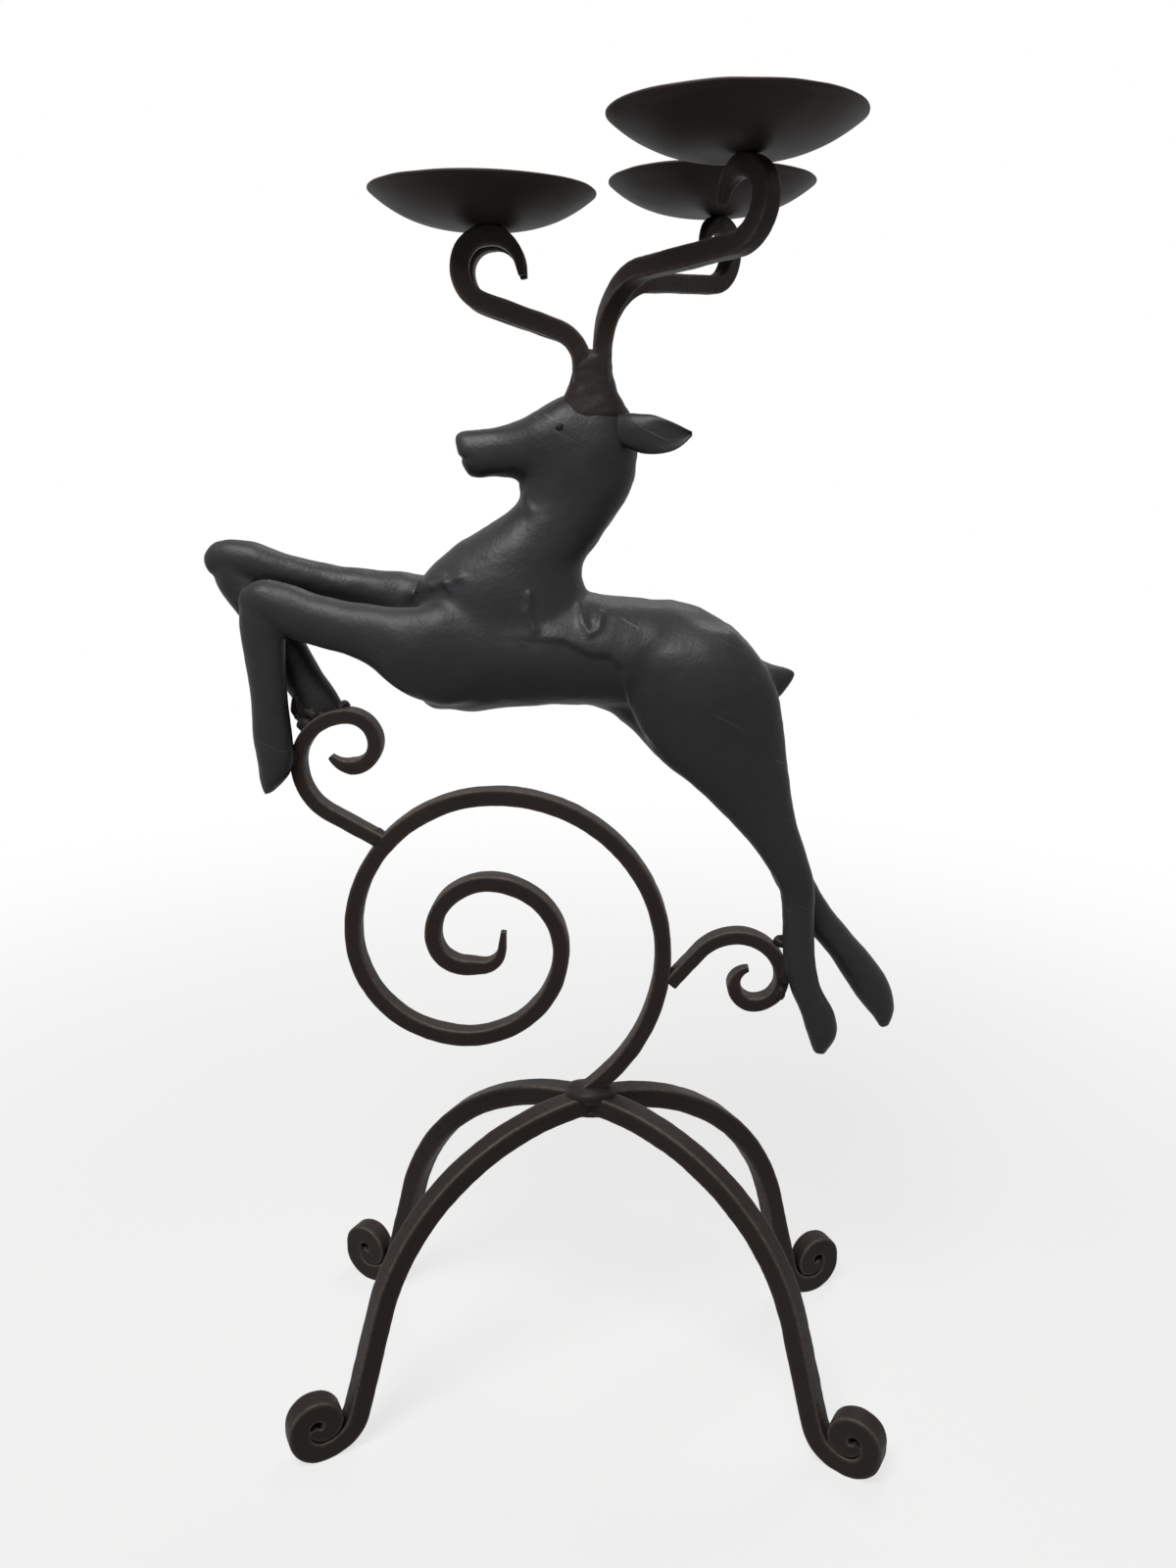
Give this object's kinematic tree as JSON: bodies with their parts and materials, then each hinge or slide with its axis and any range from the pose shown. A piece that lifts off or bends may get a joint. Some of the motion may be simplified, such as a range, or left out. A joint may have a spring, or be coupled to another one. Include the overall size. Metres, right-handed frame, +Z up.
{
  "type": "candle holder",
  "caption": "Black iron candle holder: a leaping deer on a spiral scroll and arched stand, with dished candle pans carried on its antlers.",
  "frame": {"origin": "on the floor, at the middle of the overall box in plan", "axes": "+Z up; -X the way the deer leaps; -Y the deer's left, the side turned to the camera"},
  "size_m": [0.3638, 0.2394, 0.6587],
  "materials": {
    "formed_sheet": "satin black paint over hammered sheet iron",
    "forged_bar": "satin black paint over forged bar, thin on the edges",
    "pan_sheet": "satin black paint over dished sheet iron",
    "weld_metal": "satin black paint over rough weld"
  },
  "bodies": {
    "root": {"body_left_half": "formed_sheet", "body_right_half": "formed_sheet", "foreleg_left": "formed_sheet", "foreleg_right": "formed_sheet", "hindleg_left": "formed_sheet", "hindleg_right": "formed_sheet", "ear_left": "formed_sheet", "ear_right": "formed_sheet", "tail": "formed_sheet", "front_tine_left": "forged_bar", "front_tine_right": "forged_bar", "rear_beam_left": "forged_bar", "rear_beam_right": "forged_bar", "spiral_scroll": "forged_bar", "front_bracket": "forged_bar", "rear_bracket": "forged_bar", "stand_leg_front_left": "forged_bar", "stand_leg_front_right": "forged_bar", "stand_leg_rear_left": "forged_bar", "stand_leg_rear_right": "forged_bar", "pan_front": "pan_sheet", "pan_rear_left": "pan_sheet", "pan_rear_right": "pan_sheet", "eyes": "weld_metal", "antler_collar": "weld_metal", "hub_weld": "weld_metal"}
  },
  "joints": []
}
